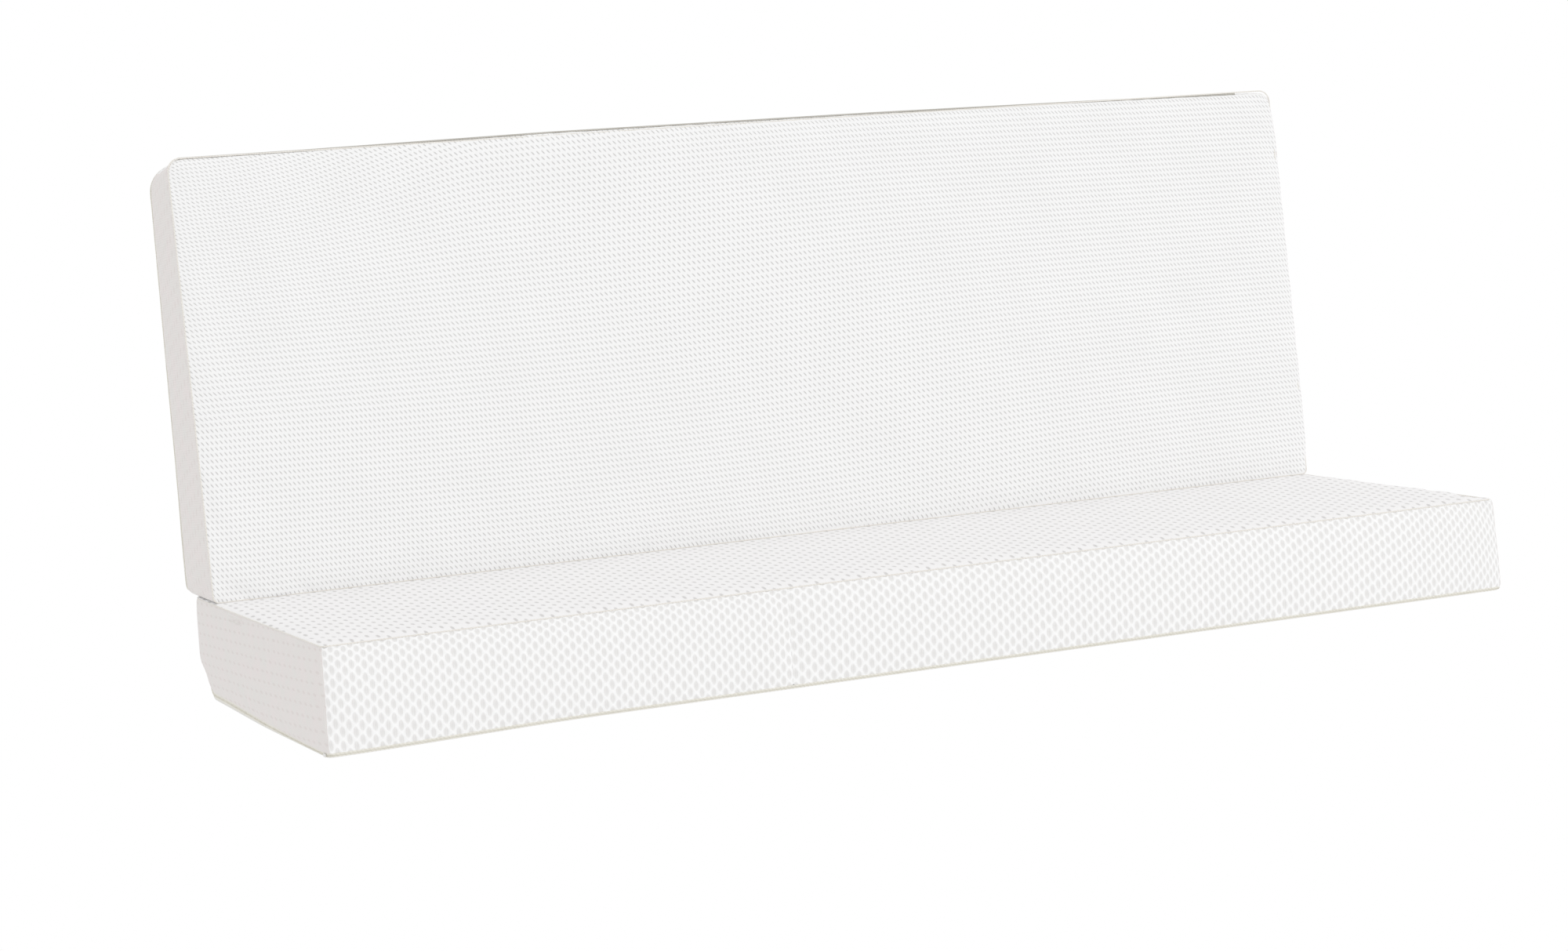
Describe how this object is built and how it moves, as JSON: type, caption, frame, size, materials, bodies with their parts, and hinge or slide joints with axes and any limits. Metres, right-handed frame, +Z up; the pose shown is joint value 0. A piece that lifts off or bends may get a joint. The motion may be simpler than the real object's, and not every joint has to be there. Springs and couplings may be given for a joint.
{
  "type": "folding memory foam mattress",
  "caption": "Folding memory foam mattress of two zipped slabs, standing as a sofa; the leaning back swings down behind the seat to make a flat bed.",
  "frame": {"origin": "middle of the seat slab's underside, on the floor", "axes": "+X along the length, to the right of someone who looks at the front; -Y to the front; +Z up"},
  "size_m": [1.9051, 0.7166, 0.7921],
  "materials": {
    "knit_face": "white stretch knit with rows of small dimples",
    "border_knit": "white spacer knit with a raised lattice and leaf-shaped dimples",
    "end_knit": "fine rib knit with rows of faint flecks, matt",
    "underside_knit": "plain woven underside fabric, matt",
    "support_foam": "open-cell polyurethane foam",
    "memory_foam": "fine-cell viscoelastic foam",
    "seam_thread": "overlocked polyester thread",
    "zip_tape": "ribbed polyester tape",
    "zip_coil": "nylon coil",
    "zip_metal": "white lacquered zinc",
    "strip_fabric": "plain white twill"
  },
  "bodies": {
    "seat": {"seat_support_foam": "support_foam", "seat_memory_foam": "memory_foam", "seat_top_panel": "knit_face", "seat_underside_panel": "underside_knit", "seat_front_border_left": "border_knit", "seat_front_border_right": "border_knit", "seat_left_border": "end_knit", "seat_right_border": "end_knit", "seat_rear_border": "border_knit", "seat_edge_seam": "seam_thread", "seat_zip_tapes": "zip_tape", "seat_zip_coil": "zip_coil", "seat_zip_corner_tab": "zip_tape", "seat_tacking_stitches": "seam_thread", "seat_strip_hem": "strip_fabric"},
    "hinge_strip": {"hinge_strip": "strip_fabric"},
    "back": {"back_strip_hem": "strip_fabric", "back_support_foam": "support_foam", "back_memory_foam": "memory_foam", "back_face_panel": "knit_face", "back_rear_panel": "underside_knit", "back_left_border": "end_knit", "back_right_border": "end_knit", "back_top_border": "border_knit", "back_foot_border": "border_knit", "back_edge_seam": "seam_thread", "back_zip_tapes": "zip_tape", "back_zip_coil": "zip_coil"},
    "seat_zip_slider": {"seat_zip_slider": "zip_metal"},
    "seat_zip_pull": {"seat_zip_pull": "zip_metal"},
    "back_zip_slider": {"back_zip_slider": "zip_metal"},
    "back_zip_pull": {"back_zip_pull": "zip_metal"}
  },
  "joints": [
    {"name": "strip_swing", "type": "hinge", "parent": "seat", "child": "hinge_strip", "pos_m": [0, 0.32672, 0.07271], "axis": [-1, 0, 0], "range_deg": [0, 168]},
    {"name": "back_fold", "type": "hinge", "parent": "hinge_strip", "child": "back", "pos_m": [0, 0.3263, 0.146], "axis": [-1, 0, 0], "range_deg": [-84, 0]},
    {"name": "seat_slider_run", "type": "slide", "parent": "seat", "child": "seat_zip_slider", "axis": [1, 0, 0], "range_m": [0, 1.75]},
    {"name": "seat_pull_swing", "type": "hinge", "parent": "seat_zip_slider", "child": "seat_zip_pull", "pos_m": [-0.875, 0.328, 0.007], "axis": [0, 0, 1], "range_deg": [0, 175]},
    {"name": "back_slider_run", "type": "slide", "parent": "back", "child": "back_zip_slider", "axis": [0, 0.1045, 0.9945], "range_m": [0, 0.51]},
    {"name": "back_pull_swing", "type": "hinge", "parent": "back_zip_slider", "child": "back_zip_pull", "pos_m": [0.953, 0.32441, 0.2074], "axis": [0, -0.9945, 0.1045], "range_deg": [0, 175]}
  ],
  "couplings": [
    {"joint": "back_fold", "follows": "strip_swing", "ratio": -0.5}
  ]
}
